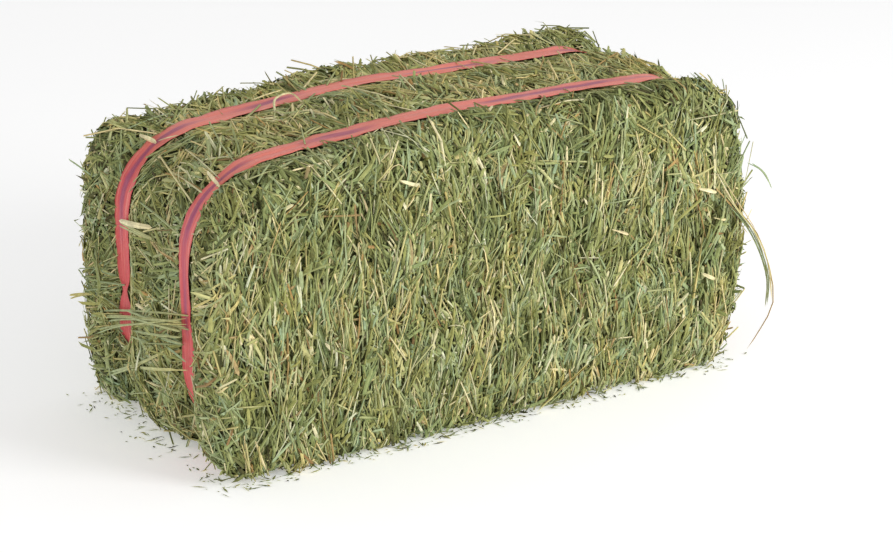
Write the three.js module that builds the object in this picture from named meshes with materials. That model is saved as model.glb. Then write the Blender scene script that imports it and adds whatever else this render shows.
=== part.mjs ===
// Square hay bale: twelve pressed flakes standing side by side, held by two flat straps.
// Millimetres. X runs along the bale, Y across it and Z up; the bale rests on Z = 0.
import * as THREE from 'three';

// Driving dimensions of the bale
const baleLength = 984;
const baleWidth = 440;
const baleHeight = 476;
const flakeCount = 12;
const endFlakeShare = 1.22;
const flakeGap = 0.8;

// Two flat straps of opened-out film twine, each a closed ring round the length of the bale
const strapWidth = 46;
const strapThickness = 1.2;
const strapGap = 0.8;
const strapSpacing = 212;
const strapShift = -9;
const strapHalfLength = 466;
const strapTop = 473;
const strapBase = 0.3;
const strapTopRadius = 130;
const strapBaseRadius = 160;
const grooveMargin = 2;
const grooveShoulder = 22;

// How far the straps also pull in the hay beside them, from 0 to 1: at the left-hand end between
// the straps, before the front one and behind the back one, and the share of that at the right
// and at the base
const pullBetween = 0.72;
const pullFront = 0.45;
const pullBack = 0.1;
const pullRight = 0.5;
const pullAtBase = 0.3;

// How the pressed hay has settled
const outerTopRadius = 45;
const innerTopRadius = 86;
const endBaseRadius = 40;
const edgeTopRadius = 44;
const edgeBaseRadius = 20;
const cornerRadius = 30;
const crownDropLeft = 28;
const crownDropRight = 8;
const endBarrelLeft = 18;
const endBarrelRight = 44;
const endHollow = 6;
const bellyOut = 6;
const lumpSize = 2.5;

// The knot that closes each strap, on the right-hand end
const knotHeight = 255;
const knotReach = 16;
const knotBulge = 9;
const knotWidth = 24;

const halfLength = baleLength / 2;
const halfWidth = baleWidth / 2;
const strapCentres = [strapShift - strapSpacing / 2, strapShift + strapSpacing / 2];

const smooth = (t) => {
  const s = THREE.MathUtils.clamp(t, 0, 1);
  return s * s * (3 - 2 * s);
};

const linesBetween = (from, to, count) =>
  Array.from({ length: count }, (_, i) => THREE.MathUtils.lerp(from, to, i / count));

// Presses the square corner where two walls meet into a round one. Each wall is given as a
// distance from the middle and the wall's own half size.
function roundCorner(a, halfA, b, halfB, radius) {
  const overA = Math.max(0, (Math.abs(a) - halfA + radius) / radius);
  const overB = Math.max(0, (Math.abs(b) - halfB + radius) / radius);
  if (overA === 0 || overB === 0) return [a, b];
  const roundA = overA * Math.sqrt(1 - (overB * overB) / 2);
  const roundB = overB * Math.sqrt(1 - (overA * overA) / 2);
  return [
    Math.sign(a) * (halfA - radius + roundA * radius),
    Math.sign(b) * (halfB - radius + roundB * radius),
  ];
}

// The top is highest from the middle to the right and falls away towards both ends.
function crown(x) {
  const left = crownDropLeft * smooth((-30 - x) / 400);
  const right = crownDropRight * smooth((x - 330) / 150);
  return (baleHeight - left - right) / baleHeight;
}

// 1 under a strap, 0 clear of it, with a sloping shoulder of hay between.
function underStrap(y) {
  const nearest = Math.min(...strapCentres.map((centre) => Math.abs(y - centre)));
  return 1 - smooth((nearest - strapWidth / 2 - grooveMargin) / grooveShoulder);
}

// How far the hay beside the straps gives way with them, which it does towards the ends.
function besideStrap(x, y, z) {
  const fromMiddle = Math.abs(y - strapShift) / strapSpacing;
  const between = 1 - smooth((fromMiddle - 0.5) / 0.3);
  const pull = THREE.MathUtils.lerp(y < 0 ? pullFront : pullBack, pullBetween, between);
  const nearEnd = smooth((Math.abs(x) - 0.5 * halfLength) / (0.25 * halfLength));
  const fromBase = THREE.MathUtils.lerp(pullAtBase, 1, smooth((1.8 * z) / baleHeight));
  return nearEnd * fromBase * (x < 0 ? pull : pull * pullRight);
}

// Where hay lies that no strap holds: a block with a barrel to each end and round end edges,
// which the straps pull rounder between them than beyond them.
function looseHay(x, z, outer, along, across) {
  const middle = baleHeight / 2;
  const up = (z - middle) / middle;
  const beyondStraps = smooth((Math.abs(across) - 0.5) / 0.2);
  const topRadius = THREE.MathUtils.lerp(innerTopRadius, outerTopRadius, beyondStraps);
  const radius = up > 0 ? topRadius : endBaseRadius;
  const barrel = along < 0 ? endBarrelLeft : endBarrelRight;
  const inset = outer * (barrel * up * up + endHollow * across * across);
  const [rx, rz] = roundCorner(x, halfLength, z - middle, middle, radius);
  return [rx - along * inset, rz + middle];
}

// How far the bound hay reaches up or down from the middle at a distance along the bale: flat
// over the bale's length, and a quarter circle down to the end.
function boundReach(along, half, tall, radius) {
  const over = THREE.MathUtils.clamp(along - half + radius, 0, radius);
  return tall - radius + Math.sqrt(radius * radius - over * over);
}

// Where hay lies that a strap holds: shorter, lower and rounder at the ends. Each slice across
// the bale stays flat and is only squeezed in height.
function boundHay(x, z, endZone) {
  const slack = strapThickness + strapGap;
  const half = strapHalfLength - slack;
  const reach = Math.abs(x);
  const pressed = (half - endZone) / (halfLength - endZone);
  const held = reach > endZone ? endZone + (reach - endZone) * pressed : reach;
  const middle = (strapTop + strapBase) / 2;
  const tall = (strapTop - strapBase) / 2 - slack;
  const up = boundReach(held, half, tall, strapTopRadius - slack);
  const down = boundReach(held, half, tall, strapBaseRadius - slack);
  return [Math.sign(x) * held, middle - down + (z / baleHeight) * (up + down)];
}

// Moves a point of a plain block to where the pressed, strapped hay really lies. Only the hay
// beyond the straps bellies out sideways, so its grooves stay straight.
function settle(point, flake) {
  const middle = baleHeight / 2;
  const across = point.y / halfWidth;
  const outward = Math.sign(across) * across ** 6;
  const outer = smooth((Math.abs(point.x) - flake.endZone) / (halfLength - flake.endZone));
  const edgeRadius = point.z > middle ? edgeTopRadius : edgeBaseRadius;
  let [x, y, z] = [point.x, point.y, point.z - middle];
  [y, z] = roundCorner(y, halfWidth, z, middle, edgeRadius);
  [x, y] = roundCorner(x, halfLength, y, halfWidth, cornerRadius);
  const aboveFloor = smooth(point.z / 60);
  const atTop = aboveFloor * (point.z / baleHeight) ** 3;
  const lumps = lumpSize * Math.sin(point.z / 31 + point.x / 37 + 2 * across);
  y += outward * bellyOut * (Math.exp(-(((point.z - 90) / 120) ** 2)) - 1);
  y += aboveFloor * outward * (Math.sign(across) * flake.shift + lumps);
  z += atTop * (lumpSize * Math.sin(point.x / 29 + point.y / 41) + flake.rise);
  const [freeX, freeZ] = looseHay(x, z + middle, outer, Math.sign(point.x), across);
  const [heldX, heldZ] = boundHay(point.x, point.z, flake.endZone);
  const beside = besideStrap(point.x, point.y, point.z);
  const hold = THREE.MathUtils.lerp(beside, 1, underStrap(point.y));
  x = THREE.MathUtils.lerp(freeX, heldX, hold);
  z = THREE.MathUtils.lerp(freeZ, heldZ, hold) * crown(x);
  point.set(x, y, Math.max(0, z));
}

// Lines across the bale: close together at the sides and where a strap's groove begins and ends.
function linesAcross() {
  const inner = strapWidth / 2 + grooveMargin;
  const grooves = strapCentres.flatMap((centre) => [
    centre - inner - grooveShoulder,
    centre - inner,
    centre + inner,
    centre + inner + grooveShoulder,
  ]);
  const sides = [halfWidth, halfWidth - 32];
  return [...sides.map((y) => -y), ...grooves, strapShift, ...sides].sort((a, b) => a - b);
}

const linesUp = [0, 22, 70, 150, 250, 345, 415, 454, baleHeight];

// One flake, from one thickness line to the next, as a block of small faces that has settled.
function makeFlake(flake) {
  const steps = flake.isEnd ? 5 : 2;
  const across = linesAcross();
  const block = new THREE.BoxGeometry(1, 1, 1, steps, across.length - 1, linesUp.length - 1);
  const places = block.attributes.position;
  const point = new THREE.Vector3();
  for (let i = 0; i < places.count; i += 1) {
    point.fromBufferAttribute(places, i).addScalar(0.5);
    point.x = THREE.MathUtils.lerp(flake.from, flake.to, flake.spread(point.x));
    point.y = across[Math.round(point.y * (across.length - 1))];
    point.z = linesUp[Math.round(point.z * (linesUp.length - 1))];
    settle(point, flake);
    places.setXYZ(i, point.x, point.y, point.z);
  }
  return block;
}

// Flakes differ a little in thickness and in how far each one stands out. The two at the ends,
// which the chamber's plunger pressed last and first, are the thickest.
function flakeRows() {
  const isEndFlake = (i) => i === 0 || i === flakeCount - 1;
  const share = (i) => (isEndFlake(i) ? endFlakeShare : 1 + 0.09 * Math.sin(2.1 * i + 0.6));
  const shares = Array.from({ length: flakeCount }, (_, i) => share(i));
  const whole = shares.reduce((sum, each) => sum + each, 0);
  const borders = [-halfLength];
  shares.forEach((each) => borders.push(borders.at(-1) + (each / whole) * baleLength));
  const closerAtEnd = (t) => Math.sin((Math.PI / 2) * t);
  return shares.map((_, i) => {
    const first = i === 0;
    const last = i === flakeCount - 1;
    const spread = last ? closerAtEnd : first ? (t) => 1 - closerAtEnd(1 - t) : (t) => t;
    return {
      spread,
      from: first ? -halfLength : borders[i] + flakeGap / 2,
      to: last ? halfLength : borders[i + 1] - flakeGap / 2,
      endZone: Math.min(-borders[1], borders.at(-2)),
      isEnd: isEndFlake(i),
      shift: 3 * Math.sin(3.7 * i + 1),
      rise: isEndFlake(i) ? 0 : 2 * Math.sin(5.3 * i),
    };
  });
}

// The strap's route round the bale as a rounded rectangle in X and Z, anticlockwise seen from
// the front, with the direction that faces away from the hay at each point.
function strapRoute() {
  const corners = [
    { x: 1, z: 1, radius: strapTopRadius, start: 0 },
    { x: -1, z: 1, radius: strapTopRadius, start: 0.5 },
    { x: -1, z: -1, radius: strapBaseRadius, start: 1 },
    { x: 1, z: -1, radius: strapBaseRadius, start: 1.5 },
  ];
  const middle = (strapTop + strapBase) / 2;
  const tall = (strapTop - strapBase) / 2;
  const arcSteps = 10;
  const route = [];
  corners.forEach((corner) => {
    const centreX = corner.x * (strapHalfLength - corner.radius);
    const centreZ = middle + corner.z * (tall - corner.radius);
    for (let i = 0; i <= arcSteps; i += 1) {
      const angle = Math.PI * (corner.start + (0.5 * i) / arcSteps);
      const out = new THREE.Vector2(Math.cos(angle), Math.sin(angle));
      route.push({ x: centreX + corner.radius * out.x, z: centreZ + corner.radius * out.y, out });
    }
  });
  return route;
}

// Adds points to the straight runs of the route, so that they can follow the crown of the top.
function fillRuns(route, longest) {
  return route.flatMap((point, i) => {
    const next = route[(i + 1) % route.length];
    const steps = Math.max(1, Math.ceil(Math.hypot(next.x - point.x, next.z - point.z) / longest));
    const xs = linesBetween(point.x, next.x, steps);
    const zs = linesBetween(point.z, next.z, steps);
    return xs.map((x, k) => ({ x, z: zs[k], out: point.out }));
  });
}

// How wide and how thick the strap is at a point of its route: narrow and thick in the knot.
function strapSection(point) {
  const isRightEnd = point.x > strapHalfLength - 1;
  const near = isRightEnd ? 1 - smooth((Math.abs(point.z - knotHeight) - 4) / knotReach) : 0;
  return {
    width: THREE.MathUtils.lerp(strapWidth, knotWidth, near),
    thickness: THREE.MathUtils.lerp(strapThickness, knotBulge, near),
  };
}

// One strap: a ring with a flat four-cornered section, laid along the route.
function makeStrap(centre) {
  const runs = fillRuns(strapRoute(), 38);
  const knotLines = [-20, -12, -4, 4, 12, 20].map((dz) => knotHeight + dz);
  const rightEnd = { x: strapHalfLength, out: new THREE.Vector2(1, 0) };
  const isKnotRun = (p) => p.x > strapHalfLength - 0.5 && Math.abs(p.z - knotHeight) < 30;
  const route = runs.filter((point) => !isKnotRun(point));
  const knotAt = route.findLastIndex((p) => p.x > strapHalfLength - 0.5 && p.z < knotHeight) + 1;
  route.splice(knotAt, 0, ...knotLines.map((z) => ({ ...rightEnd, z })));
  const ring = new THREE.TorusGeometry(2, 1, 4, route.length);
  const places = ring.attributes.position;
  const columns = route.length + 1;
  const corners = [[1, -1], [0, -1], [0, 1], [1, 1], [1, -1]];
  for (let i = 0; i < places.count; i += 1) {
    const point = route[(i % columns) % route.length];
    const [isOuter, side] = corners[Math.floor(i / columns)];
    const { width, thickness } = strapSection(point);
    const away = isOuter * thickness - strapThickness;
    const x = point.x + point.out.x * away;
    const z = point.z + point.out.y * away;
    places.setXYZ(i, x, centre + (side * width) / 2, z * crown(x));
  }
  return ring;
}

const hayColours = [0x7f8755, 0x888c5a, 0x767f4f, 0x8c8c5c];
const strapColours = [0xcf4f63, 0xd0586a];

function addPiece(bale, name, geometry, material) {
  const piece = new THREE.Mesh(geometry, new THREE.MeshStandardMaterial(material));
  piece.name = name;
  bale.add(piece);
}

const bale = new THREE.Group();

flakeRows().forEach((flake, i) => {
  const name = `flake_${String(i + 1).padStart(2, '0')}`;
  const color = hayColours[i % hayColours.length];
  addPiece(bale, name, makeFlake(flake), { color, roughness: 0.95, metalness: 0 });
});

['strap_front', 'strap_back'].forEach((name, i) => {
  const color = strapColours[i];
  addPiece(bale, name, makeStrap(strapCentres[i]), { color, roughness: 0.45, metalness: 0 });
});

// The origin is the middle of the base.
const box = new THREE.Box3().setFromObject(bale);
const centre = box.getCenter(new THREE.Vector3());
bale.position.set(-centre.x, -centre.y, -box.min.z);

export default bale;
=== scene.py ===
# %% [markdown]
# # A square hay bale, held by two flat straps
# This lesson dresses a packed bale. The frame gives twelve plain flakes of pressed hay and two
# straps, all at their real size. Blender gives them what they are made of: stems, blades and bits
# of leaf as real geometry, and film straps with folds. Everything is in metres, Z is up and the
# floor is Z = 0.

# %% Load the frame
import math

import bmesh
import bpy
import numpy as np
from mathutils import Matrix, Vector
from mathutils.bvhtree import BVHTree
from mathutils.kdtree import KDTree


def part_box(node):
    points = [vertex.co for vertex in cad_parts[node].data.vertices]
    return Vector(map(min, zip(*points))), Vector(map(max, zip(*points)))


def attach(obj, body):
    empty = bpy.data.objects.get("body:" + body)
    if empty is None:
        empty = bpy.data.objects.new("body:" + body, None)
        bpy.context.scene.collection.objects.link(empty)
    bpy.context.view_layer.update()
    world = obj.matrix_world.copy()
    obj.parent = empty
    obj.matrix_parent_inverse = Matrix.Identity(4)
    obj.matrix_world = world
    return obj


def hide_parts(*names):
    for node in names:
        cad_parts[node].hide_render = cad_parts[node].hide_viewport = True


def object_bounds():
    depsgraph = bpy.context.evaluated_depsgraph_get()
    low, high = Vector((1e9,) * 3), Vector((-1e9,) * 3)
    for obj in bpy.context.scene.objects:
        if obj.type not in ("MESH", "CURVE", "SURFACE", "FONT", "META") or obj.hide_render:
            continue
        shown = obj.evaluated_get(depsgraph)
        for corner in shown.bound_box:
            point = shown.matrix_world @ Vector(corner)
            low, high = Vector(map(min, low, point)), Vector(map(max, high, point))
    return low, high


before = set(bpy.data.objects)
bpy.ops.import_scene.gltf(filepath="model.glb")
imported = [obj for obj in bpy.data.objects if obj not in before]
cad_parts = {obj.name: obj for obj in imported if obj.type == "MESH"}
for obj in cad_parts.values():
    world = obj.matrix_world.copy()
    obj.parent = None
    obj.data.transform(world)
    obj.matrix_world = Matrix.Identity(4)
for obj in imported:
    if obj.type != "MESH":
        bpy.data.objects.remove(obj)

MM = 0.001
cad_box = [list(corner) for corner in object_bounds()]
low, high = (np.array(corner) for corner in cad_box)
bale_size = high - low
flake_names = sorted(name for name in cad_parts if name.startswith("flake"))
print("bale", [round(float(side), 3) for side in bale_size], "flakes", len(flake_names))

# %% [markdown]
# ## Camera
# The bale is seen from a little above, off one corner, through a long lens, so that its edges
# stay nearly parallel. The camera looks at a point half way up the middle of the bale. A small
# lens shift frames it without tilting the uprights.

# %% Camera
aim = Vector((0.0, 0.0, 0.2275))
turn, rise, distance = math.radians(-32.12), math.radians(18.67), 3.288
back = Vector((math.sin(turn) * math.cos(rise), -math.cos(turn) * math.cos(rise), math.sin(rise)))
camera = bpy.data.objects.new("camera", bpy.data.cameras.new("camera"))
camera.location = aim + back * distance
camera.rotation_euler = back.to_track_quat("Z", "Y").to_euler()
camera.data.lens = 84.0
camera.data.shift_x, camera.data.shift_y = 0.0273, -0.0393
bpy.context.scene.collection.objects.link(camera)
bpy.context.scene.camera = camera
print("camera", [round(value, 2) for value in camera.location])

# %% [markdown]
# ## Floor and light
# The bale stands on a plain white sweep in soft light. A sweep is one sheet that runs level under
# the object and curves up behind it, so that no horizon shows. Here it is a very large level sheet
# under a white sky, which does the same from every side.

# %% Floor
def new_material(name):
    material = bpy.data.materials.new(name)
    material.use_nodes = True
    return material, material.node_tree.nodes, material.node_tree.links


def new_object(name, mesh):
    made = bpy.data.objects.new(name, mesh)
    bpy.context.scene.collection.objects.link(made)
    return made


FLOOR_HALF = 30.0
paper, nodes, links = new_material("studio_paper")
shader = nodes["Principled BSDF"]
shader.inputs["Base Color"].default_value = (0.93, 0.93, 0.93, 1)
shader.inputs["Roughness"].default_value = 0.9
shader.inputs["Specular IOR Level"].default_value = 0.1
shader.inputs["Emission Color"].default_value = (1.0, 1.0, 1.0, 1)
shader.inputs["Emission Strength"].default_value = 0.30
sheet = bmesh.new()
bmesh.ops.create_grid(sheet, x_segments=1, y_segments=1, size=FLOOR_HALF)
floor_mesh = bpy.data.meshes.new("floor")
sheet.to_mesh(floor_mesh)
sheet.free()
floor_mesh.materials.append(paper)
floor = new_object("floor", floor_mesh)
print("floor", 2 * FLOOR_HALF, "metres square")

# %% [markdown]
# The sky gives the soft light. It is brighter near the horizon than overhead, so that the sides of
# the bale are lit as well as its top. A key lamp off the near right corner models the blades, and
# a weak fill lamp opens the shadow on the end. Both are square sheets of light, like softboxes.

# %% Light
SKY_ABOVE, SKY_LEVEL = 0.37, 1.13
scene = bpy.context.scene
scene.view_settings.view_transform = "Standard"
world = bpy.data.worlds.new("studio")
scene.world = world
world.use_nodes = True
nodes, links = world.node_tree.nodes, world.node_tree.links
ways = nodes.new("ShaderNodeTexCoord")
height = nodes.new("ShaderNodeSeparateXYZ")
links.new(ways.outputs["Generated"], height.inputs["Vector"])
sky = nodes.new("ShaderNodeMapRange")
sky.inputs["To Min"].default_value, sky.inputs["To Max"].default_value = SKY_LEVEL, SKY_ABOVE
links.new(height.outputs["Z"], sky.inputs["Value"])
nodes["Background"].inputs["Color"].default_value = (1.0, 1.0, 1.0, 1)
links.new(sky.outputs["Result"], nodes["Background"].inputs["Strength"])


def softbox(name, place, size, watts):
    lamp = bpy.data.lights.new(name, "AREA")
    lamp.shape, lamp.size, lamp.energy = "SQUARE", size, watts
    lit = bpy.data.objects.new(name, lamp)
    lit.location = place
    lit.rotation_euler = (Vector(place) - aim).to_track_quat("Z", "Y").to_euler()
    scene.collection.objects.link(lit)


softbox("key", (2.0, -3.4, 1.7), 1.6, 97)
softbox("fill", (-3.0, -1.6, 1.6), 2.0, 8)

# %% [markdown]
# ## The colour of hay
# Dried hay is never one green. A blade may be sage, olive, straw or brown, and it has fine
# lengthwise streaks. Painting a hundred thousand blades one by one would need as many materials.
# Instead there is one sheet of hay colour: across it the tint runs from dark olive to cream, and
# up it the hay goes from greyish sage to tan and the streaks of a blade run. Every blade takes a
# narrow strip of the sheet as its map, so its tint depends on where its strip lies.

# %% The sheet of hay colour
SHEET_MAP = "OFBake"
hay, nodes, links = new_material("hay")
shader = nodes["Principled BSDF"]


def add_node(kind, **settings):
    made = nodes.new(kind)
    for key, value in settings.items():
        if key in made.inputs:
            made.inputs[key].default_value = value
        else:
            setattr(made, key, value)
    return made


def noise_on(place, stretch, detail=3.0):
    """Noise that is stretched along the sheet, so that it makes streaks or blotches."""
    scaled = add_node("ShaderNodeMapping", Scale=stretch)
    links.new(place, scaled.inputs["Vector"])
    noise = add_node("ShaderNodeTexNoise", Scale=1.0, Detail=detail, Roughness=0.6)
    links.new(scaled.outputs["Vector"], noise.inputs["Vector"])
    return noise.outputs["Fac"]


def remap(value, from_low, from_high, to_low, to_high):
    made = add_node("ShaderNodeMapRange", **{"From Min": from_low, "From Max": from_high,
                                             "To Min": to_low, "To Max": to_high})
    links.new(value, made.inputs["Value"])
    return made.outputs["Result"]


def fill_socket(socket, value):
    """Link a socket to another one, or set it to a plain value."""
    if isinstance(value, bpy.types.NodeSocket):
        links.new(value, socket)
    else:
        socket.default_value = value


def mixed(blend, share, first, second):
    """Two colours mixed. A Mix node keeps its colours in sockets 6 and 7 and gives socket 2."""
    made = add_node("ShaderNodeMix", data_type="RGBA", blend_type=blend)
    fill_socket(made.inputs["Factor"], share)
    fill_socket(made.inputs[6], first)
    fill_socket(made.inputs[7], second)
    return made.outputs[2]


print("helpers for nodes ready")

# %% [markdown]
# The tints run from the darkest crumbled leaf, through olive and sage greens, to straw and cream.
# The last two are the browns of dead stems. The `family` colour tips the whole row from a cool
# sage at the foot of the sheet to a warm tan at its top.

# %% Hay material
HAY_TINTS = (
    # where the tint lies across the sheet, and its colour
    (0.00, (0.045, 0.040, 0.013)),
    (0.10, (0.085, 0.088, 0.028)),
    (0.22, (0.145, 0.168, 0.055)),
    (0.36, (0.235, 0.268, 0.090)),
    (0.50, (0.335, 0.360, 0.130)),
    (0.60, (0.330, 0.395, 0.205)),
    (0.70, (0.490, 0.500, 0.235)),
    (0.80, (0.570, 0.505, 0.210)),
    (0.90, (0.770, 0.730, 0.480)),
    (0.95, (0.430, 0.300, 0.115)),
    (1.00, (0.250, 0.155, 0.065)),
)
place = add_node("ShaderNodeUVMap", uv_map=SHEET_MAP).outputs["UV"]
apart = add_node("ShaderNodeSeparateXYZ")
links.new(place, apart.inputs["Vector"])
ramp = add_node("ShaderNodeValToRGB")
stops = ramp.color_ramp.elements
while len(stops) < len(HAY_TINTS):
    stops.new(0.5)
for stop, (where, tint) in zip(stops, HAY_TINTS):
    stop.position, stop.color = where, (*tint, 1)
links.new(apart.outputs["X"], ramp.inputs["Fac"])
fine_streaks = noise_on(place, (420.0, 7.0, 1.0))
streaks = remap(fine_streaks, 0.25, 0.75, 0.72, 1.28)
blotches = remap(noise_on(place, (60.0, 26.0, 1.0)), 0.3, 0.7, 0.8, 1.2)
shade = add_node("ShaderNodeMath", operation="MULTIPLY")
links.new(streaks, shade.inputs[0])
links.new(blotches, shade.inputs[1])
grey = add_node("ShaderNodeCombineColor")
for channel in ("Red", "Green", "Blue"):
    links.new(shade.outputs["Value"], grey.inputs[channel])
family = mixed("MIX", apart.outputs["Y"], (0.86, 0.98, 1.12, 1), (1.16, 1.01, 0.84, 1))
toned = mixed("MULTIPLY", 1.0, ramp.outputs["Color"], family)
streaked = mixed("MULTIPLY", 1.0, toned, grey.outputs["Color"])
specks = remap(noise_on(place, (150.0, 60.0, 1.0)), 0.62, 0.72, 0.0, 0.5)
links.new(mixed("MIX", specks, streaked, (0.32, 0.25, 0.10, 1)), shader.inputs["Base Color"])
sheen = remap(noise_on(place, (200.0, 12.0, 1.0)), 0.3, 0.7, 0.55, 0.85)
links.new(sheen, shader.inputs["Roughness"])
shader.inputs["Specular IOR Level"].default_value = 0.3
ribs = add_node("ShaderNodeBump", Strength=0.5, Distance=0.6 * MM)
links.new(fine_streaks, ribs.inputs["Height"])
links.new(ribs.outputs["Normal"], shader.inputs["Normal"])
print("hay tints", len(HAY_TINTS))

# %% [markdown]
# ## The skin of the bale
# Everything that is laid on the bale has to know where the surface is and which way it faces. A
# BVH tree answers that quickly: it holds all the outer faces of the flakes and finds the one
# nearest to any point. The faces between two flakes are left out, because no hay is seen there.

# %% Outer faces of the flakes
BORDER_DEPTH = 3 * MM


def faces_of(name):
    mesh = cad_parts[name].data
    mesh.calc_loop_triangles()
    points = np.empty(len(mesh.vertices) * 3)
    mesh.vertices.foreach_get("co", points)
    corners = np.empty(len(mesh.loop_triangles) * 3, int)
    mesh.loop_triangles.foreach_get("vertices", corners)
    return points.reshape(-1, 3), corners.reshape(-1, 3)


def normals_of(points, corners):
    a, b, c = (points[corners[:, k]] for k in range(3))
    normals = np.cross(b - a, c - a)
    areas = np.linalg.norm(normals, axis=1)
    return normals / np.maximum(areas, 1e-12)[:, None], areas / 2


def is_outer(name, points, corners):
    """A mask of the faces that no neighbouring flake covers."""
    first, last = (np.array(corner)[0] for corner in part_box(name))
    normals, _ = normals_of(points, corners)
    middles = points[corners].mean(1)
    flat = np.abs(normals[:, 0]) > 0.97
    near_first = (np.abs(middles[:, 0] - first) < BORDER_DEPTH) & (name != flake_names[0])
    near_last = (np.abs(middles[:, 0] - last) < BORDER_DEPTH) & (name != flake_names[-1])
    return ~(flat & (near_first | near_last))


skins = {}
all_points, all_corners, so_far = [], [], 0
for name in flake_names:
    points, corners = faces_of(name)
    outer = is_outer(name, points, corners)
    skins[name] = (points, corners[outer])
    all_points.append(points)
    all_corners.append(corners[outer] + so_far)
    so_far += len(points)
skin_points, skin_corners = np.concatenate(all_points), np.concatenate(all_corners)
skin_normals, skin_areas = normals_of(skin_points, skin_corners)
skin = BVHTree.FromPolygons(skin_points.tolist(), skin_corners.tolist())
print("skin", len(skin_corners), "faces,", round(float(skin_areas.sum()), 2), "square metres")


def on_skin(places):
    """The nearest point of the skin and its outward normal, for each place."""
    found = [skin.find_nearest(place) for place in places.tolist()]
    spots = np.array([hit[0] for hit in found])
    facing = skin_normals[np.array([hit[2] for hit in found])]
    return spots, facing

# %% [markdown]
# ## Smooth randomness
# Neighbouring blades lean the same way, because they were packed by the same stroke. A field of
# waves gives each place a value that changes slowly, and gives nearby places nearly the same one.

# %% Wave fields
def wave_field(seed, wavelength, waves=9):
    source = np.random.default_rng(seed)
    ways = source.normal(size=(waves, 3))
    ways /= np.linalg.norm(ways, axis=1)[:, None]
    lengths = wavelength * source.uniform(0.6, 1.6, waves)
    starts = source.uniform(0, 2 * math.pi, waves)

    def at(places):
        phases = places @ (ways / lengths[:, None]).T * 2 * math.pi + starts
        return np.sin(phases).sum(1) * math.sqrt(2 / waves)

    return at


lean_field = wave_field(11, 0.085)
lump_field = wave_field(12, 0.060)
tint_field = wave_field(13, 0.130)
tan_field = wave_field(15, 0.075)
fine_field = wave_field(14, 0.022)
print("lean varies by", round(float(lean_field(skin_points[:2000]).std()), 2))

# %% [markdown]
# ## The pressed core
# Deep between the blades lies crumbled leaf, dense, and its tint is kept dark as painted shade
# for the gaps. Each flake starts from its own plain solid: the outer faces are cut finer, then
# pushed in a few millimetres by a rough field, so that the gaps between blades have a floor of
# their own with real relief.

# %% Core of a flake
CORE_CUTS = 4
CORE_DEPTH = 5.5 * MM
CORE_ROUGHNESS = 2.0 * MM
CORE_OFF_FLOOR = 0.3 * MM
# the core's tints come from the dark end of the sheet: crumbled leaf, darkened as painted shade
# deep in the gaps
CORE_SHADE_TINTS = (0.06, 0.24)
CRUMB_ON_SHEET = np.array([[0, 0], [0.012, 0], [0.006, 0.03]])


def core_of(name, source):
    """Points, triangles and sheet places of a flake's core."""
    work = bmesh.new()
    work.from_mesh(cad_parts[name].data)
    bmesh.ops.triangulate(work, faces=work.faces)
    work.verts.ensure_lookup_table()
    points = np.array([v.co for v in work.verts])
    corners = np.array([[v.index for v in face.verts] for face in work.faces])
    outer = is_outer(name, points, corners)
    cut = {edge for face, shown in zip(work.faces, outer) if shown for edge in face.edges}
    moved = work.verts.layers.int.new("outer")
    for edge in cut:
        for corner in edge.verts:
            corner[moved] = 1
    done = bmesh.ops.subdivide_edges(work, edges=list(cut), cuts=CORE_CUTS, use_grid_fill=True)
    for made in done["geom"]:
        if isinstance(made, bmesh.types.BMVert):
            made[moved] = 1
    bmesh.ops.triangulate(work, faces=work.faces)
    work.normal_update()
    points = np.array([v.co for v in work.verts])
    facing = np.array([v.normal for v in work.verts])
    loose = np.array([v[moved] for v in work.verts])
    corners = np.array([[v.index for v in face.verts] for face in work.faces])
    work.free()
    depth = CORE_DEPTH + CORE_ROUGHNESS * (lump_field(points) + 0.7 * fine_field(points))
    points = points - facing * (loose * np.maximum(depth, 1 * MM))[:, None]
    points[:, 2] = np.maximum(points[:, 2], CORE_OFF_FLOOR)
    tint = source.uniform(*CORE_SHADE_TINTS, len(corners))
    along = source.uniform(0.05, 0.95, len(corners))
    return points, corners, np.stack([tint, along], 1)[:, None, :] + CRUMB_ON_SHEET


print("a face of the core is cut into", (CORE_CUTS + 1) ** 2, "triangles")

# %% [markdown]
# ## Where the straps hold the hay
# A strap presses the hay flat beside it as well as under it, so nothing near its edges may stand
# high. At two places the hay has closed over the straps again: where they turn down at the
# right-hand end, and at the foot of the left-hand end for the one behind. Away from a strap the
# hay may stand higher the farther it is from the edge, in three stretches of growing slope.

# %% Held and closed-over hay
STRAP_NAMES = ["strap_front", "strap_back"]
strap_lines = [float(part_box(name)[0][1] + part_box(name)[1][1]) / 2 for name in STRAP_NAMES]
strap_half = float(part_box(STRAP_NAMES[0])[1][1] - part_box(STRAP_NAMES[0])[0][1]) / 2
CLOSED_RIGHT = dict(x=0.392, waver=0.01, waves=90, above=0.395)
CLOSED_LEFT = dict(x=-0.36, above=0.01, below=0.125)
LEVEL_BESIDE = 1.0 * MM
SLOPES_BESIDE = ((2 * MM, 0.10), (24 * MM, 0.24), (40 * MM, 1.5))
PRESSED_UNDER = 2 * MM


def strap_distance(places):
    """How far each place is from the nearest strap's edge across the bale; negative under it."""
    return np.min([np.abs(places[..., 1] - line) for line in strap_lines], axis=0) - strap_half


def closed_over(places):
    """Whether the hay has closed over the straps at each place."""
    x, y, z = places[..., 0], places[..., 1], places[..., 2]
    border = CLOSED_RIGHT["x"] + CLOSED_RIGHT["waver"] * np.sin(y * CLOSED_RIGHT["waves"])
    top_right = (x > border) & (z > CLOSED_RIGHT["above"])
    low_down = (z < CLOSED_LEFT["below"]) & (z > CLOSED_LEFT["above"])
    return top_right | ((x < CLOSED_LEFT["x"]) & (y > 0) & low_down)


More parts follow.
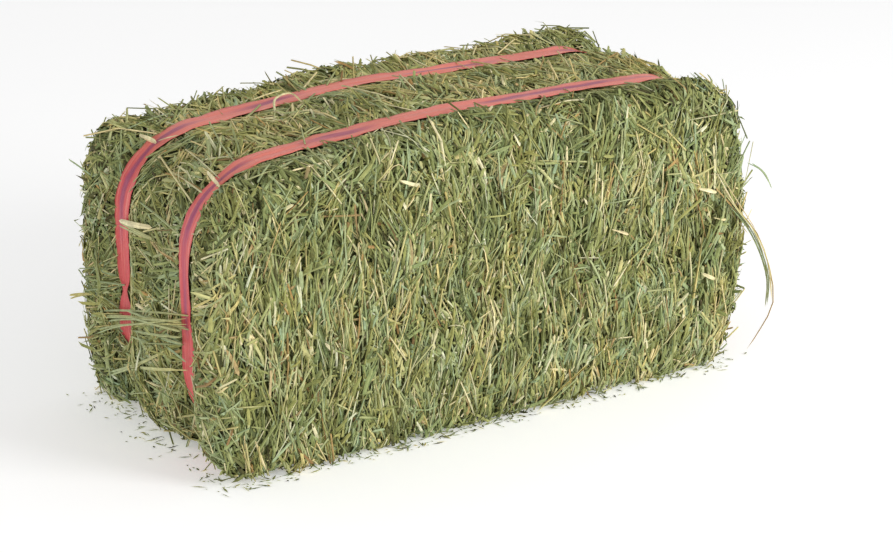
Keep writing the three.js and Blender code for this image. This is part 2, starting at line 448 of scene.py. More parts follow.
def most_height(places, random):
    """The most that hay may stand above the skin at each place."""
    edge = strap_distance(places)
    most = LEVEL_BESIDE
    for start, slope in SLOPES_BESIDE:
        most = most + slope * np.maximum(edge - start, 0)
    under = np.where(edge < -PRESSED_UNDER, -PRESSED_UNDER, 0)
    return np.where(closed_over(places), 1.0, most + under - 1.5 * MM * random)


print("straps at y", [round(line, 3) for line in strap_lines], "half width", round(strap_half, 3))

# %% [markdown]
# ## Tufts
# Blades lie in tufts: a handful that were cut, raked and pressed together share a lean, a tint
# and a height. A few thousand tuft centres are strewn over the skin, and each blade follows the
# one nearest to it. A k-d tree finds that one quickly. Strewing picks a face in proportion to its
# area and then a random place on it, so big faces get their fair share.

# %% Strew places over the skin
BASE_SHARE = 0.13
TUFT_SPACING = 24 * MM


def strew(points, corners, count, source):
    """Random places on faces, thin on the base and absent under the straps."""
    facing, areas = normals_of(points, corners)
    wanted = areas * np.where(facing[:, 2] < -0.9, BASE_SHARE, 1.0)
    chosen = source.choice(len(corners), count, p=wanted / wanted.sum())
    one, two = source.random((2, count))
    flip = one + two > 1
    one, two = np.where(flip, 1 - one, one), np.where(flip, 1 - two, two)
    a, b, c = (points[corners[chosen, k]] for k in range(3))
    places = a + (b - a) * one[:, None] + (c - a) * two[:, None]
    keep = (strap_distance(places) > -3 * MM) | closed_over(places)
    return places[keep], facing[chosen][keep]


tuft_source = np.random.default_rng(5)
tuft_count = int(skin_areas.sum() / TUFT_SPACING**2)
tuft_places, tuft_facing = strew(skin_points, skin_corners, tuft_count, tuft_source)
tuft_tree = KDTree(len(tuft_places))
for index, place in enumerate(tuft_places.tolist()):
    tuft_tree.insert(place, index)
tuft_tree.balance()
tufts = len(tuft_places)
print("tufts", tufts)

# %% [markdown]
# What a tuft does depends on where it is. On the long sides the tufts hang nearly straight. Along
# the upper edges, where the chamber rubbed them, and on the two ends they lie in all directions.
# The sun has bleached the top of the bale towards tan; the upper edges get painted shade. A few
# tufts stand out wildly, and they stand higher at the back of the top towards the right.

# %% What each tuft shares
UPPER_EDGE, UPPER_WAVER = 0.393, 0.014
TOP_STARTS_AT, SHADE_STARTS_AT = -0.14, 0.12
LEAN_ON_SIDE, LEAN_ON_EDGE, LEAN_ON_END = 0.20, 0.60, 0.85
# the edge shift and the shaded-end shift darken the tint as painted shade
BLEACHED_TINT, PAINTED_EDGE_SHADE, SHADED_TINT = 0.05, 0.10, 0.05
BLEACHED_TAN = 0.25
WILD_SHARE, WILD_FROM_STRAP = 0.12, 45 * MM
HIGH_TUFTS, HIGH_REACH, HIGH_LIFT = np.array([0.34, 0.19, 0.476]), 0.07, 13 * MM
CLOSED_LIFT = 6 * MM

upper_side = tuft_places[:, 2] > UPPER_EDGE + UPPER_WAVER * lump_field(tuft_places)
bleached = (tuft_facing[:, 2] > 0.8) & (tuft_places[:, 1] >= TOP_STARTS_AT)
on_an_end = np.abs(tuft_facing[:, 0]) > 0.7
shaded_end = on_an_end & (tuft_places[:, 1] > SHADE_STARTS_AT)
lean_spread = np.where(upper_side, LEAN_ON_EDGE, LEAN_ON_SIDE)
lean_spread[on_an_end] = LEAN_ON_END
tuft_lean = tuft_source.normal(0, 1, tufts) * lean_spread + 0.12 * lean_field(tuft_places)
tuft_tint = tuft_source.normal(0, 0.07, tufts) + 0.05 * tint_field(tuft_places)
# upper edges that are not on the bleached top are darkened as painted shade
tuft_tint += BLEACHED_TINT * bleached - PAINTED_EDGE_SHADE * (upper_side & ~bleached)
tuft_tint -= SHADED_TINT * shaded_end
tuft_wild = tuft_source.random(tufts) < WILD_SHARE
tuft_wild &= strap_distance(tuft_places) > WILD_FROM_STRAP
tuft_tan = 0.5 + tuft_source.normal(0, 0.13, tufts) + 0.18 * tan_field(tuft_places)
tuft_tan += BLEACHED_TAN * bleached
near_high = np.linalg.norm((tuft_places - HIGH_TUFTS) * (1.0, 1.2, 1.0), axis=1)
tuft_lift = tuft_source.uniform(-2.5, 3.0, tufts) * MM + 1.5 * MM * lump_field(tuft_places)
tuft_lift += HIGH_LIFT * np.exp(-(near_high / HIGH_REACH) ** 2)
tuft_lift += CLOSED_LIFT * closed_over(tuft_places)
print("wild tufts", int(tuft_wild.sum()), "bleached", int(bleached.sum()))

# %% [markdown]
# ## A blade as a closed sliver
# A dried blade folds along its middle, so its section is a flat triangle with a ridge. A blade is
# a row of such triangles that runs out to a point at each end, which makes a closed solid with
# very few faces. Hay that was cut has blunt ends: there the first and last triangles stand close
# to the points. All the blades of one kind are built together as arrays, which is far quicker
# than one object for each. A blade's strip on the sheet of hay colour is as long as the blade.

# %% Slivers from arrays
STRIP_WIDTH = 0.008
SHEET_LENGTH = 0.30


def sliver_faces(rings):
    """Corners of one closed sliver: a tip, its rings of three, and the other tip."""
    last = 3 * rings + 1
    faces = []
    for k in range(3):
        after = (k + 1) % 3
        faces.append((0, 1 + after, 1 + k))
        faces.append((last, last - 3 + k, last - 3 + after))
        for ring in range(rings - 1):
            here, there = 1 + 3 * ring, 4 + 3 * ring
            faces.append((here + k, here + after, there + after))
            faces.append((here + k, there + after, there + k))
    return np.array(faces)


def unit(vectors):
    return vectors / np.maximum(np.linalg.norm(vectors, axis=-1, keepdims=True), 1e-9)


def slivers(line, steps, up, width, keel, tint, tan, length):
    """Closed slivers along lines of points. line and up are (blades, points, 3). tint and tan
    place each one on the sheet of hay colour."""
    blades, count, _ = line.shape
    rings = count - 2
    run = unit(np.gradient(line, axis=1))
    side = unit(np.cross(run, up))
    ridge = np.cross(side, run)
    half = (side * width[..., None] / 2)[:, 1:-1]
    top = (ridge * (width * keel)[..., None])[:, 1:-1]
    middle = line[:, 1:-1]
    rows = np.stack([middle - half, middle + top, middle + half], axis=2)
    points = np.concatenate([line[:, :1], rows.reshape(blades, rings * 3, 3), line[:, -1:]], axis=1)
    across = np.concatenate([[0.5], np.tile([0.0, 0.5, 1.0], rings), [0.5]])
    reach = np.concatenate([[0.0], np.repeat(steps[1:-1] + 0.5, 3), [1.0]])
    tall = np.minimum(length / SHEET_LENGTH, 0.95)
    start = tan * (0.999 - tall)
    sheet_u = tint[:, None] * (1 - STRIP_WIDTH) + across * STRIP_WIDTH
    sheet_v = start[:, None] + reach * tall[:, None]
    faces = sliver_faces(rings) + (np.arange(blades) * points.shape[1])[:, None, None]
    faces = faces.reshape(-1, 3)
    sheet = np.stack([sheet_u, sheet_v], -1).reshape(-1, 2)
    return points.reshape(-1, 3), faces, sheet[faces]


print("faces in a sliver of 2 rings:", len(sliver_faces(2)))

# %% [markdown]
# ## Laying blades on the bale
# On the long sides and the top the blades lie in the plane of the flake, so they run round it: up
# the sides and across the top. On the two ends one looks at the flat of a flake, where they lie
# every way. Most of the hay is short bits, some of it is longer blades and hollow stems, and a
# little is fine tendrils.

# %% Kinds of blade
KINDS = {
    # lengths, widths and lift in millimetres; free is the share with one end in the air
    "chip": dict(rings=1, blunt=0, per_m2=9500, length=(7, 20), width=(2.8, 7.0), keel=0.20,
                 curl=0.2, spread=0.85, free=0.40, lift=9, wrap=1.0, tint=(0.46, 0.16), taper=0.8),
    "shard": dict(rings=2, blunt=0.10, per_m2=10500, length=(12, 40), width=(2.4, 7.0), keel=0.18,
                  curl=0.25, spread=0.42, free=0.36, lift=12, wrap=1.0, tint=(0.45, 0.15),
                  taper=0.7),
    "leaf": dict(rings=3, blunt=0.16, per_m2=5000, length=(18, 60), width=(2.4, 7.0), keel=0.14,
                 curl=0.4, spread=0.30, free=0.30, lift=13, wrap=0.9, tint=(0.46, 0.14), taper=0.7),
    "blade": dict(rings=3, blunt=0.05, per_m2=5400, length=(30, 95), width=(1.8, 4.6), keel=0.20,
                  curl=0.25, spread=0.19, free=0.30, lift=15, wrap=0.8, tint=(0.52, 0.14),
                  taper=0.8),
    "stem": dict(rings=3, blunt=0.02, per_m2=4200, length=(34, 125), width=(1.6, 3.4), keel=0.75,
                 curl=0.10, spread=0.17, free=0.34, lift=16, wrap=0.6, tint=(0.64, 0.14),
                 taper=0.95),
    "tendril": dict(rings=5, blunt=0, per_m2=420, length=(25, 70), width=(0.8, 1.5), keel=0.8,
                    curl=2.4, spread=0.5, free=0.6, lift=14, wrap=0.6, tint=(0.74, 0.12),
                    taper=1.0),
}


def steps_of(kind):
    """Where the points of a blade lie along it, from -0.5 to 0.5."""
    if kind["blunt"]:
        inner = np.linspace(kind["blunt"] - 0.5, 0.5 - kind["blunt"], kind["rings"])
        return np.concatenate([[-0.5], inner, [0.5]])
    return np.linspace(-0.5, 0.5, kind["rings"] + 2)


print("kinds of blade:", ", ".join(KINDS))

# %% [markdown]
# Each blade starts as a flat curve through its place. Its points are then laid on the skin, and
# lifted a little. Most blades have both ends tucked in under their neighbours; the others have
# one end in the air. A stiff stem doesn't follow the skin as closely as a leaf does, so each kind
# has its own share of wrap. Beside a strap no blade may stand above the film, except for the few
# that lap over it.

# %% Lay blades on the skin
STRAY_SHARE = 0.14
LAPPING_SHARE, LAPPING_HEIGHT = 0.025, 5 * MM
HIDDEN = 5 * MM
TUCKED_SHARE = 0.6
WILD_FREE, WILD_RISE = 0.3, 1.2


def grain_at(facing, angle):
    """The way the fibres run: round the flake in its own plane, and any way on its flat."""
    around = np.cross(facing, (1.0, 0.0, 0.0))
    flat = np.linalg.norm(around, axis=1) < 0.5
    around[flat] = (0.0, 1.0, 0.0)
    around = unit(around - facing * (around * facing).sum(1)[:, None])
    side = np.cross(facing, around)
    return around * np.cos(angle)[:, None] + side * np.sin(angle)[:, None]


def lay(kind, places, facing, source):
    """Lines of points for blades of one kind, with the direction that faces out at each."""
    steps, many = steps_of(kind), len(places)
    tuft = np.array([tuft_tree.find(place)[1] for place in places.tolist()])
    stray = np.where(source.random(many) < STRAY_SHARE, source.uniform(-1.6, 1.6, many), 0)
    angle = tuft_lean[tuft] + source.normal(0, kind["spread"], many) + stray
    run = grain_at(facing, angle)
    side = np.cross(facing, run)
    span = source.random(many) ** 1.5
    length = (kind["length"][0] + span * (kind["length"][1] - kind["length"][0])) * MM
    bend = source.normal(0, kind["curl"], many)
    across = 0.5 * bend[:, None] * (steps**2 - 1 / 12)
    line = (places[:, None] + length[:, None, None] *
            (steps[None, :, None] * run[:, None] + across[..., None] * side[:, None]))
    spots, out = on_skin(line.reshape(-1, 3))
    spots, out = spots.reshape(many, -1, 3), out.reshape(many, -1, 3)
    wrap = np.clip(kind["wrap"] + source.normal(0, 0.2, many), 0, 1)[:, None, None]
    level = np.clip(source.normal(0.5, 1.6, many), -2.5, 4.0) * MM + tuft_lift[tuft]
    arch = np.minimum(length * 0.05, 2 * MM)[:, None] * (1 - 4 * steps**2)
    tucked_in = (source.random(many) < TUCKED_SHARE)[:, None]
    tucked = -HIDDEN * (2 * np.abs(steps)) ** 4 * tucked_in
    wild = tuft_wild[tuft]
    free = source.random(many) < kind["free"] + WILD_FREE * wild
    rise = kind["lift"] * MM * source.random(many) ** 2 * (1 + WILD_RISE * wild)
    rising = rise[:, None] * (steps + 0.5) ** 1.5 - HIDDEN * (0.5 - steps) ** 4
    height = level[:, None] + arch + np.where(free[:, None], rising, tucked)
    lapping = source.random(many) < LAPPING_SHARE
    held = most_height(spots, source.random(many)[:, None])
    height = np.minimum(height, np.maximum(held, LAPPING_HEIGHT * lapping[:, None]))
    wrapped = spots + out * height[..., None]
    straight = line + facing[:, None] * height[..., None]
    return wrapped * wrap + straight * (1 - wrap), steps, out, length, tuft


print("share of blades that lap over a strap:", LAPPING_SHARE)

# %% [markdown]
# A blade's tint is that of its kind, shifted by its tuft. A few in a hundred are cream or brown,
# whatever the tuft: bleached leaves and dead stems turn up everywhere in hay.

# %% Tints
GREENS, CREAMS, BROWNS = (0.02, 0.86), (0.85, 0.91), (0.94, 1.0)
CREAM_SHARE, BROWN_SHARE = 0.035, 0.025


def tints_of(kind, tuft, source):
    """Where each blade lies on the sheet of hay colour: its tint, and how tan it is."""
    mean, spread = kind["tint"]
    many = len(tuft)
    tint = source.normal(mean, spread, many) + tuft_tint[tuft]
    tint = np.clip(tint, *GREENS)
    rare = source.random(many)
    tint = np.where(rare < CREAM_SHARE, source.uniform(*CREAMS, many), tint)
    tint = np.where(rare > 1 - BROWN_SHARE, source.uniform(*BROWNS, many), tint)
    return tint, np.clip(tuft_tan[tuft] + source.normal(0, 0.16, many), 0, 1)


print("cream", CREAM_SHARE, "brown", BROWN_SHARE)

# %% [markdown]
# ## Chaff at the foot
# Every bale sheds: leaf and broken bits fall and lie flat on the floor close to its foot. Each bit
# starts from a low place on the side of a flake and lands a little way out from it.

# %% Chaff
CHAFF = dict(rings=1, blunt=0, length=(4, 26), width=(1.4, 4.2), keel=0.25, tint=(0.40, 0.20))
CHAFF_PER_METRE = 420
CHAFF_FROM_HEIGHT = 0.10
CHAFF_REACH, CHAFF_BACK = 16 * MM, 6 * MM


def chaff_of(points, corners, source):
    """Low places beside a flake's foot and the lines of the bits that lie there."""
    facing, areas = normals_of(points, corners)
    middles = points[corners].mean(1)
    low_side = (middles[:, 2] < CHAFF_FROM_HEIGHT) & (facing[:, 2] > -0.6)
    foot = areas * low_side
    many = int(CHAFF_PER_METRE * foot.sum() / CHAFF_FROM_HEIGHT)
    chosen = source.choice(len(corners), many, p=foot / foot.sum())
    weights = source.dirichlet((1, 1, 1), many)
    starts = (points[corners[chosen]] * weights[..., None]).sum(1)
    away = unit(facing[chosen] * (1, 1, 0))
    starts = starts + away * (source.exponential(CHAFF_REACH, many)[:, None] - CHAFF_BACK)
    starts[:, 2] = source.uniform(0.7, 2.0, many) * MM
    steps = steps_of(CHAFF)
    angle = source.uniform(0, 2 * math.pi, many)
    run = np.stack([np.cos(angle), np.sin(angle), source.normal(0, 0.04, many)], 1)
    span = source.random(many) ** 2
    length = (CHAFF["length"][0] + span * (CHAFF["length"][1] - CHAFF["length"][0])) * MM
    line = starts[:, None] + run[:, None] * (steps[:, None] * length[:, None, None])
    return line, steps, length


print("chaff is up to", CHAFF["length"][1], "mm long")

# %% [markdown]
# ## One flake's hay
# The core and all the blades of a flake are one mesh, which rides where the flake does and stands
# for it. Blades that would reach the floor are pressed flat on it, and those that would stand out
# too far are left off. A mesh of this size is filled straight from arrays.

# %% Build a mesh from arrays
def mesh_from(name, points, corners, sheet_places, smooth):
    """sheet_places has one row for each corner of each triangle."""
    mesh = bpy.data.meshes.new(name)
    mesh.vertices.add(len(points))
    mesh.vertices.foreach_set("co", points.astype(np.float32).ravel())
    mesh.loops.add(corners.size)
    mesh.loops.foreach_set("vertex_index", corners.astype(np.int32).ravel())
    mesh.polygons.add(len(corners))
    mesh.polygons.foreach_set("loop_start", np.arange(0, corners.size, 3, dtype=np.int32))
    mesh.polygons.foreach_set("use_smooth", smooth)
    mesh.update(calc_edges=True)
    layer = mesh.uv_layers.new(name=SHEET_MAP)
    layer.uv.foreach_set("vector", sheet_places.astype(np.float32).ravel())
    mesh.validate()
    return mesh


def joined(parts):
    """Several (points, corners, sheet places, smooth) put into one."""
    starts = np.cumsum([0] + [len(part[0]) for part in parts[:-1]])
    corners = [part[1] + start for part, start in zip(parts, starts)]
    smooth = [np.full(len(part[1]), part[3]) for part in parts]
    return (np.concatenate([part[0] for part in parts]), np.concatenate(corners),
            np.concatenate([part[2] for part in parts]), np.concatenate(smooth))


print("every mesh carries the map", SHEET_MAP)

# %% [markdown]
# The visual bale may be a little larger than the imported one, since blades stand out from it, but
# only a little: the reach is 3 % of each side and 8 mm more. Blades taper towards one end, and
# twist a little about their own length.

# %% A flake's hay
STAND_PROUD = 0.03 * bale_size + 8 * MM
WELL_BELOW = -1.0
reach_low, reach_high = low - STAND_PROUD, high + STAND_PROUD
reach_low[2] = WELL_BELOW


def within_reach(line):
    return ((line > reach_low) & (line < reach_high)).all((1, 2))


def widths_of(kind, steps, many, source):
    narrow = kind["taper"] ** source.uniform(0, 2, (many, 1))
    breadth = source.uniform(*kind["width"], (many, 1)) * MM
    return breadth * (1 - (1 - narrow) * (steps + 0.5))


def above_floor(points, source):
    points[:, 2] = np.maximum(points[:, 2], 0.4 * MM + 0.8 * MM * source.random(len(points)))
    return points


def hay_of(name, seed):
    source = np.random.default_rng(seed)
    parts = [(*core_of(name, source), False)]
    flake_points, flake_corners = skins[name]
    facing, areas = normals_of(flake_points, flake_corners)
    area = float((areas * np.where(facing[:, 2] < -0.9, BASE_SHARE, 1.0)).sum())
    for kind in KINDS.values():
        places, out = strew(flake_points, flake_corners, int(area * kind["per_m2"]), source)
        line, steps, up, length, tuft = lay(kind, places, out, source)
        inside = within_reach(line)
        line, up, length, tuft = line[inside], up[inside], length[inside], tuft[inside]
        twist = source.normal(0, 0.45, (len(line), 1, 1))
        side = np.cross(up, unit(np.gradient(line, axis=1)))
        up = unit(up * np.cos(twist) + side * np.sin(twist))
        width = widths_of(kind, steps, len(line), source)
        tint, tan = tints_of(kind, tuft, source)
        made, faces, sheet = slivers(line, steps, up, width, kind["keel"], tint, tan, length)
        parts.append((above_floor(made, source), faces, sheet, kind["keel"] > 0.5))
    line, steps, length = chaff_of(flake_points, flake_corners, source)
    inside = within_reach(line)
    line, length = line[inside], length[inside]
    width = source.uniform(*CHAFF["width"], (len(line), 1)) * MM * np.ones(len(steps))
    tint = np.clip(source.normal(*CHAFF["tint"], len(line)), 0.05, 0.95)
    up = np.zeros_like(line) + (0.0, 0.0, 1.0)
    tan = source.random(len(line))
    made, faces, sheet = slivers(line, steps, up, width, CHAFF["keel"], tint, tan, length)
    parts.append((above_floor(made, source), faces, sheet, False))
    return mesh_from(name + "_hay", *joined(parts))


print("hay may stand out by", [round(float(side) / MM, 1) for side in STAND_PROUD], "mm")

# %% [markdown]
# Every flake gets its own seed, so that no two are alike and each comes out the same every time.

# %% Hay for every flake
total = 0
for number, name in enumerate(flake_names):
    mesh = hay_of(name, 100 + number)
    mesh.materials.append(hay)
    piece = new_object(name + "_hay", mesh)
    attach(piece, "root")
    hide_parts(name)
    total += len(mesh.polygons)
    print(piece.name, len(mesh.polygons))
print("hay triangles", total)

# %% [markdown]
# ## Stems that lie loose over the bale
# A few long stems lie over everything else, some of them across the straps, and one hangs off the
# right-hand end. Each is a smooth curve through a few points, given in millimetres. Most of the
# points come from a scratch program that cast rays from the camera onto the skin of the bale, and
# they were then moved out of the skin by hand. Those of the bundle at the right-hand end were given
# one by one. A bunch is one such curve laid several times with small shifts. Fresh stems, those
# with a tint between the two SAGE_TINTS, keep the greyish side of the sheet; the rest are tan.

# %% Loose stems
LOOSE_STEMS = (
    # points, how many, how far they scatter (mm), width (mm), tint
    (((-419, 128, 434), (-413, 108, 432), (-412, 82, 433)), 1, 0, 9, 0.90),
    (((-409, 84, 434), (-396, 73, 440), (-384, 64, 444)), 1, 0, 5, 0.88),
    (((-475, 90, 320), (-478, 32, 330), (-473, -24, 340)), 1, 0, 10, 0.87),
    (((-474, 87, 312), (-479, 22, 319), (-476, -34, 322)), 2, 4, 4, 0.70),
    (((-477, -34, 322), (-482, -70, 318), (-474, -103, 312)), 2, 4, 3, 0.96),
    (((-466, 34, 363), (-468, -39, 359), (-470, -108, 352)), 1, 0, 4, 0.66),
    (((-488, 181, 131), (-480, 100, 160), (-484, -40, 204), (-475, -125, 226)), 7, 9, 4, 0.66),
    (((-485, 40, 174), (-484, -58, 197), (-475, -118, 210)), 6, 9, 4, 0.68),
    (((-484, -20, 176), (-480, -80, 180), (-474, -121, 181)), 3, 7, 5, 0.60),
    (((-462, 125, 62), (-487, -39, 121), (-474, -118, 148)), 2, 6, 5, 0.70),
    (((-480, 141, 66), (-486, 12, 123), (-481, -73, 165)), 2, 6, 5, 0.66),
    (((-416, -92, 432), (-422, -121, 431), (-434, -168, 434)), 1, 0, 9, 0.90),
    (((-476, 170, 366), (-492, 184, 382), (-506, 196, 394)), 1, 0, 4, 0.60),
    (((-480, 190, 186), (-500, 200, 184), (-514, 206, 180)), 2, 5, 5, 0.76),
    (((424, -224, 296), (452, -230, 262), (484, -239, 222), (510, -244, 160), (520, -246, 100),
      (500, -241, 56), (476, -238, 24)), 1, 0, 3, 0.95),
    (((418, -223, 306), (448, -229, 268), (480, -238, 226), (506, -243, 170), (517, -245, 104)),
     3, 3, 3, 0.80),
    (((432, -224, 280), (468, -232, 236), (492, -239, 190), (508, -243, 140), (508, -243, 92)),
     3, 3, 4, 0.60),
    (((405, -222, 326), (440, -228, 280), (484, -232, 224)), 5, 8, 3, 0.94),
    (((470, -230, 340), (492, -236, 322), (508, -240, 292)), 2, 3, 4, 0.58),
    (((393, -221, 252), (377, -226, 182), (365, -225, 103)), 2, 4, 5, 0.79),
    (((351, -224, 200), (318, -226, 168), (282, -225, 136)), 1, 0, 5, 0.68),
    (((66, -228, 2), (108, -228, 30), (162, -228, 64)), 2, 4, 7, 0.78),
    (((372, -223, 312), (390, -229, 307), (409, -224, 300)), 1, 0, 6, 0.91),
    (((202, -224, 275), (220, -229, 268), (237, -223, 260)), 1, 0, 7, 0.91),
    (((385, -226, 169), (398, -231, 162), (410, -229, 156)), 1, 0, 7, 0.90),
    (((404, -224, 259), (418, -230, 255), (432, -223, 251)), 1, 0, 6, 0.89),
    (((-242, 27, 464), (-222, 64, 476), (-182, 84, 474), (-196, 10, 470)), 1, 0, 4, 0.86),
)
SAGE_TINTS = (0.55, 0.73)
SAGE_SIDE, TAN_SIDE = 0.12, 0.7
THICK_FROM = 5
print("loose stems", sum(row[1] for row in LOOSE_STEMS))

# %% [markdown]
# The curve through the points is a Catmull-Rom spline: it passes through each of them and needs
# nothing but the points before and after. A flat leaf has a low keel, a thin stem a high one.

# %% Lay the loose stems
def smooth_line(points, count):
    """Evenly spaced places on a curve through the points."""
    points = np.array(points, float) * MM
    ends = np.vstack([2 * points[0] - points[1], points, 2 * points[-1] - points[-2]])
    spans = len(points) - 1
    where = np.linspace(0, spans, count)
    span = np.minimum(where.astype(int), spans - 1)
    t = (where - span)[:, None]
    a, b, c, d = (ends[span + k] for k in range(4))
    return b + 0.5 * t * (c - a + t * (2 * a - 5 * b + 4 * c - d + t * (3 * (b - c) + d - a)))


middle_of_bale = np.array((0.0, 0.0, 0.24))
loose_source = np.random.default_rng(77)
loose_steps = np.linspace(-0.5, 0.5, 13)
parts = []
for points, count, scatter, wide, tint in LOOSE_STEMS:
    base = smooth_line(points, len(loose_steps))
    line = base + loose_source.normal(0, scatter * MM, (count, 1, 3)) * (0.3, 1.0, 1.0)
    line += loose_source.normal(0, scatter * MM, (count, 1, 3)) * loose_steps[:, None]
    line = np.clip(line, reach_low, reach_high)
    up = unit(line - middle_of_bale)
    up += loose_source.normal(0, 0.3, (count, 1, 3))
    profile = 0.55 + 0.45 * np.cos(loose_steps * 2.6)
    width = wide * MM * profile * loose_source.uniform(0.7, 1.1, (count, 1))
    tints = np.clip(tint + loose_source.normal(0, 0.02, count), 0.02, 0.99)
    length = np.linalg.norm(np.diff(line, axis=1), axis=2).sum(1)
    keel = 0.5 if wide < THICK_FROM else 0.22
    fresh = SAGE_TINTS[0] < tint < SAGE_TINTS[1]
    tan = np.full(count, SAGE_SIDE if fresh else TAN_SIDE)
    made, faces, sheet = slivers(line, loose_steps, unit(up), width, keel, tints, tan, length)
    parts.append((above_floor(made, loose_source), faces, sheet, False))
mesh = mesh_from("loose_stems", *joined(parts))
mesh.materials.append(hay)
loose = new_object("loose_stems", mesh)
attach(loose, "root")
print(loose.name, len(mesh.polygons))

# %% [markdown]
# ## The straps
# A baler's plastic twine is a wide film, folded and twisted. Drawn tight round a bale it opens out
# to a flat ribbon with long creases, frayed edges, and a darker tracer that shows here and there.
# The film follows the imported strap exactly, so its route is measured from it: rays sent in from
# all round meet the strap's outer face, and the places where they meet make the route.

# %% The route of a strap
ROUTE_STEP = 5 * MM
RAYS = 2880
KNOT_HEIGHT = 0.255
PLAIN_STRETCH = (0.30, 0.33)


def route_of(name):
    """Evenly spaced points on a strap's outer face, from the knot over the top and round."""
    points, corners = faces_of(name)
    tree = BVHTree.FromPolygons(points.tolist(), corners.tolist())
    middle = Vector(((points.min(0) + points.max(0)) / 2).tolist())
    found = []
    for angle in np.linspace(0, 2 * math.pi, RAYS, endpoint=False):
        way = Vector((math.cos(angle), 0, math.sin(angle)))
        found.append(tree.ray_cast(middle + way, -way)[0])
    ring = np.array(found)
    above, below = ring[:, 2] > PLAIN_STRETCH[0], ring[:, 2] < PLAIN_STRETCH[1]
    without_knot = ring[above & below & (ring[:, 0] > 0), 0].mean()
    ring[:, 0] = np.minimum(ring[:, 0], without_knot)
    start = int(np.argmin(np.abs(ring[:, 2] - KNOT_HEIGHT) + (ring[:, 0] < 0)))
    ring = np.roll(ring, -start, axis=0)
    ring = np.vstack([ring, ring[:1]])
    run = np.concatenate([[0], np.cumsum(np.linalg.norm(np.diff(ring, axis=0), axis=1))])
    along = np.linspace(0, run[-1], int(run[-1] / ROUTE_STEP) + 1)
    route = np.stack([np.interp(along, run, ring[:, k]) for k in range(3)], 1)
    forward = unit(np.roll(route, -3, axis=0) - np.roll(route, 3, axis=0))
    forward[:3], forward[-3:] = (0, 0, 1), (0, 0, 1)
    out = np.cross((0.0, 1.0, 0.0), forward)
    return route, out, along


routes = {name: route_of(name) for name in STRAP_NAMES}
print("strap length", [round(float(route[2][-1]), 3) for route in routes.values()])

# %% [markdown]
# ## Film with creases
# The film is a thin closed ribbon. Across it there are thirteen points, lifted by a field that is
# long in one direction, which gives it creases that run with it. Its width changes, and it is
# gathered where a fold or the knot draws it together. Its map folds the long ribbon into eight
# columns side by side, because one strip as long as that would be too thin to paint.

# %% A strap's film
ACROSS = np.linspace(-1, 1, 13)
FILM_THICK = 0.4 * MM
MAP_COLUMNS = 8
GATHERS = {
    # x, z (metres), how far it spreads, share of the width that is left
    "strap_front": ((-0.405, 0.425, 0.035, 0.70), (-0.466, 0.25, 0.16, 0.72),
                    (-0.30, 0.46, 0.05, 0.90)),
    "strap_back": ((-0.466, 0.205, 0.016, 0.34), (-0.415, 0.415, 0.03, 0.80),
                   (0.10, 0.47, 0.06, 0.88)),
}
KNOT_DRAWS_IN, KNOT_SPREAD = 0.68, 0.045
crease_field = wave_field(31, 0.020)
fine_crease = wave_field(32, 0.008)
width_field = wave_field(33, 0.16)
edge_field = wave_field(34, 0.035)


def gathered(name, route, along):
    """The share of its full width that the film has at each point of its route."""
    share = np.ones(len(route))
    for x, z, spread, left in GATHERS[name]:
        nearest = along[np.argmin(np.hypot(route[:, 0] - x, route[:, 2] - z))]
        share *= 1 - (1 - left) * np.exp(-((along - nearest) / spread) ** 2)
    from_knot = np.minimum(along, along[-1] - along)
    return share * (1 - KNOT_DRAWS_IN * np.exp(-(from_knot / KNOT_SPREAD) ** 2))


print("points across the film:", len(ACROSS))

# %% [markdown]
# Film and knots are built of rings: the same number of points again and again, joined to the ring
# before by quads. The quads are cut into triangles, and each corner is given its place on the map.

# %% Rings, quads and their map
COLUMN_EDGE, COLUMN_FILL = 0.04, 0.92


def film_sheet(rows, loop):
    """Map places for each corner of the ribbon's quads, folded into columns."""
    per_column = math.ceil((rows - 1) / MAP_COLUMNS)
    row, place = np.meshgrid(np.arange(rows - 1), np.arange(len(loop)), indexing="ij")
    column, step = row // per_column, row % per_column
    after = (place + 1) % len(loop)
    sheet = np.empty((*row.shape, 4, 2))
    for corner, (more, where) in enumerate(((0, place), (0, after), (1, after), (1, place))):
        inside = COLUMN_EDGE + COLUMN_FILL * loop[where]
        sheet[..., corner, 0] = (column + inside) / (MAP_COLUMNS + 1)
        sheet[..., corner, 1] = 0.01 + 0.98 * (step + more) / per_column
    return sheet


def quads_to_triangles(quads, sheet):
    """The two triangles of each quad, and the map places of their corners."""
    quads, places = quads.reshape(-1, 4), sheet.reshape(-1, 4, 2)
    halves = ([0, 1, 2], [0, 2, 3])
    return (np.concatenate([quads[:, half] for half in halves]),
            np.concatenate([places[:, half] for half in halves]))


def ring_quads(rows, around):
    row, place = np.meshgrid(np.arange(rows - 1), np.arange(around), indexing="ij")
    after = (place + 1) % around
    return np.stack([row * around + place, row * around + after,
                     (row + 1) * around + after, (row + 1) * around + place], -1)


print("quads in a ring of 26 points:", len(ring_quads(2, 26)[0]))

# %% [markdown]
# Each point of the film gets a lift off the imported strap. The creases are a wave field squeezed
# along the strap, so that they run with it, and they are deeper where the film is gathered. On the
# base the film lies flat on the floor, so the lift fades out there.

# %% The ribbon of one strap
CREASE, FINE_CREASE, EDGE_CURL = 0.9, 0.35, 0.9
LEAST_LIFT, FILM_LIFT = 0.25, 1.2
SIDE_DRIFT = 1.5 * MM
FRONT_OFF_FLOOR, BACK_OFF_FLOOR = 0.15 * MM, 0.05 * MM


